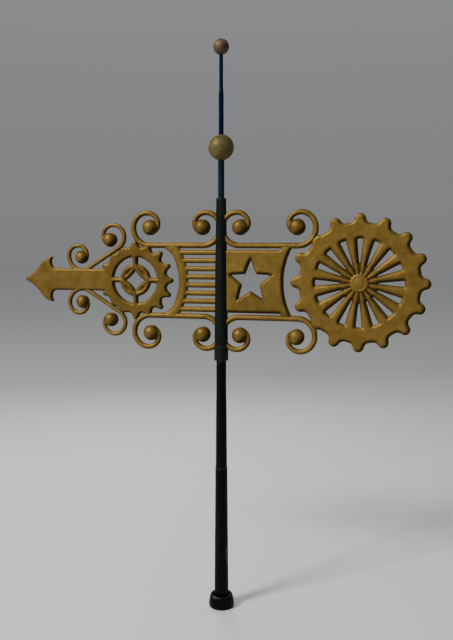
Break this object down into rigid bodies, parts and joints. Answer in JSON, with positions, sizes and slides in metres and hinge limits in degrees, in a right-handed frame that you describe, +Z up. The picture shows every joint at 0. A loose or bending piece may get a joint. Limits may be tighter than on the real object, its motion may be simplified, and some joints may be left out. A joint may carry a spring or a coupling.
{
  "type": "weathervane",
  "caption": "Roof weathervane: a wrought and cast bannerette with an arrow, toothed ring, grille, star panel and toothed wheel, turning on a stepped mast with a ball finial.",
  "frame": {"origin": "centre of the flat underside of the foot collar, where the mast is fixed to the roof", "axes": "+Z up along the mast; at rest +X runs from the mast to the toothed wheel and -X to the arrow; +Y is square to the vane's face"},
  "size_m": [1.829, 0.113, 2.5095],
  "materials": {
    "aged_gilt": "aged gilding on cast and wrought metal, dulled to brown-gold, darker in the hollows",
    "worn_brass": "dull spun brass, worn and slightly rough",
    "dark_iron": "old black-green paint on iron, satin, slightly flaked",
    "blue_black_rod": "dark blue-black paint on steel rod, satin"
  },
  "bodies": {
    "mast": {"foot_collar": "dark_iron", "lower_mast": "dark_iron", "upper_mast": "dark_iron", "spindle": "blue_black_rod", "large_ball": "worn_brass", "top_rod": "blue_black_rod", "small_ball": "worn_brass"},
    "vane": {"sleeve": "dark_iron", "arrow": "aged_gilt", "s_scroll_upper": "aged_gilt", "s_scroll_lower": "aged_gilt", "toothed_ring": "aged_gilt", "frame_bar_upper_arrow": "aged_gilt", "frame_bar_lower_arrow": "aged_gilt", "frame_bar_upper_wheel": "aged_gilt", "frame_bar_lower_wheel": "aged_gilt", "inner_curl_upper_arrow": "aged_gilt", "inner_curl_lower_arrow": "aged_gilt", "inner_curl_upper_wheel": "aged_gilt", "inner_curl_lower_wheel": "aged_gilt", "grille": "aged_gilt", "star_panel": "aged_gilt", "wheel": "aged_gilt"}
  },
  "joints": [
    {"name": "vane_turn", "type": "hinge", "parent": "mast", "child": "vane", "pos_m": [0, 0, 1.482], "axis": [0, 0, 1], "continuous": true}
  ]
}
